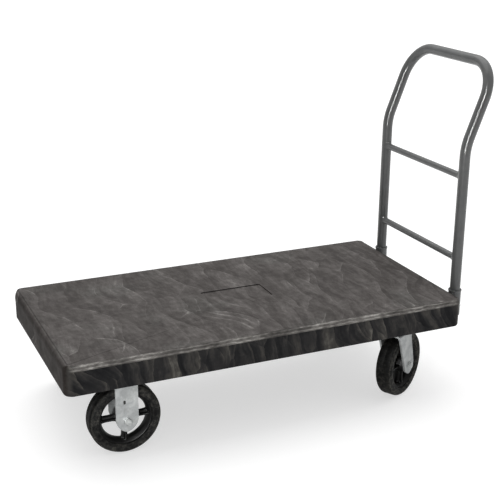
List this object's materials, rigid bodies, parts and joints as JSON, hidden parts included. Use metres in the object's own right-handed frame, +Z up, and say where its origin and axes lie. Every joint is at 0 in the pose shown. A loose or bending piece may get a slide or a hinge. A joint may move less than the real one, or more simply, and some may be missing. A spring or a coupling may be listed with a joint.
{
  "type": "platform truck",
  "caption": "Flatbed platform truck: ribbed moulded plastic deck, bent tube push handle with cross bars, rigid casters in front and swivel casters at the handle end.",
  "frame": {"origin": "centre of the overall box in plan, on the floor", "axes": "+X to the handle end, +Y to the right-hand side of the person pushing, +Z up"},
  "size_m": [1.3522, 0.606, 1.0009],
  "materials": {
    "deck_plastic": "structural foam plastic with swirl marks, dark grey, lightly worn at the edges",
    "handle_paint": "semi-gloss grey powder coat",
    "zinc_steel": "bright zinc plate on pressed steel",
    "fastener_zinc": "zinc plate",
    "tyre_rubber": "moulded black rubber, dusty",
    "core_black": "black painted casting"
  },
  "bodies": {
    "frame": {"axle_bolt_fl": "fastener_zinc", "axle_bolt_fr": "fastener_zinc", "axle_nut_fl": "fastener_zinc", "axle_nut_fr": "fastener_zinc", "axle_sleeve_fl": "fastener_zinc", "axle_sleeve_fr": "fastener_zinc", "ball_race_rl": "fastener_zinc", "ball_race_rr": "fastener_zinc", "bracket_screw_left_a": "fastener_zinc", "bracket_screw_left_b": "fastener_zinc", "bracket_screw_right_a": "fastener_zinc", "bracket_screw_right_b": "fastener_zinc", "caster_screw_fl_1": "fastener_zinc", "caster_screw_fl_2": "fastener_zinc", "caster_screw_fl_3": "fastener_zinc", "caster_screw_fl_4": "fastener_zinc", "caster_screw_fr_1": "fastener_zinc", "caster_screw_fr_2": "fastener_zinc", "caster_screw_fr_3": "fastener_zinc", "caster_screw_fr_4": "fastener_zinc", "caster_screw_rl_1": "fastener_zinc", "caster_screw_rl_2": "fastener_zinc", "caster_screw_rl_3": "fastener_zinc", "caster_screw_rl_4": "fastener_zinc", "caster_screw_rr_1": "fastener_zinc", "caster_screw_rr_2": "fastener_zinc", "caster_screw_rr_3": "fastener_zinc", "caster_screw_rr_4": "fastener_zinc", "deck": "deck_plastic", "handle_socket_left": "handle_paint", "handle_socket_right": "handle_paint", "handle_tube": "handle_paint", "kingpin_rl": "fastener_zinc", "kingpin_rr": "fastener_zinc", "lower_crossbar": "handle_paint", "rigid_fork_fl": "zinc_steel", "rigid_fork_fr": "zinc_steel", "socket_bolt_left": "fastener_zinc", "socket_bolt_right": "fastener_zinc", "socket_nut_left": "fastener_zinc", "socket_nut_right": "fastener_zinc", "swivel_plate_rl": "zinc_steel", "swivel_plate_rr": "zinc_steel", "upper_crossbar": "handle_paint"},
    "swivel_left": {"axle_bolt_rl": "fastener_zinc", "axle_nut_rl": "fastener_zinc", "axle_sleeve_rl": "fastener_zinc", "swivel_fork_rl": "zinc_steel"},
    "swivel_right": {"axle_bolt_rr": "fastener_zinc", "axle_nut_rr": "fastener_zinc", "axle_sleeve_rr": "fastener_zinc", "swivel_fork_rr": "zinc_steel"},
    "wheel_front_left": {"tyre_fl": "tyre_rubber", "wheel_core_fl": "core_black"},
    "wheel_front_right": {"tyre_fr": "tyre_rubber", "wheel_core_fr": "core_black"},
    "wheel_rear_left": {"tyre_rl": "tyre_rubber", "wheel_core_rl": "core_black"},
    "wheel_rear_right": {"tyre_rr": "tyre_rubber", "wheel_core_rr": "core_black"}
  },
  "joints": [
    {"name": "swivel_left_turn", "type": "hinge", "parent": "frame", "child": "swivel_left", "pos_m": [0.3421, -0.25, 0.22], "axis": [0, 0, 1], "continuous": true},
    {"name": "swivel_right_turn", "type": "hinge", "parent": "frame", "child": "swivel_right", "pos_m": [0.3421, 0.25, 0.22], "axis": [0, 0, 1], "continuous": true},
    {"name": "wheel_front_left_spin", "type": "hinge", "parent": "frame", "child": "wheel_front_left", "pos_m": [-0.5023, -0.232, 0.1016], "axis": [0, 1, 0], "continuous": true},
    {"name": "wheel_front_right_spin", "type": "hinge", "parent": "frame", "child": "wheel_front_right", "pos_m": [-0.5023, 0.232, 0.1016], "axis": [0, 1, 0], "continuous": true},
    {"name": "wheel_rear_left_spin", "type": "hinge", "parent": "swivel_left", "child": "wheel_rear_left", "pos_m": [0.37137, -0.23269, 0.1016], "axis": [-0.509, 0.8607, 0], "continuous": true},
    {"name": "wheel_rear_right_spin", "type": "hinge", "parent": "swivel_right", "child": "wheel_rear_right", "pos_m": [0.37509, 0.24177, 0.1016], "axis": [0.2419, 0.9703, 0], "continuous": true}
  ]
}
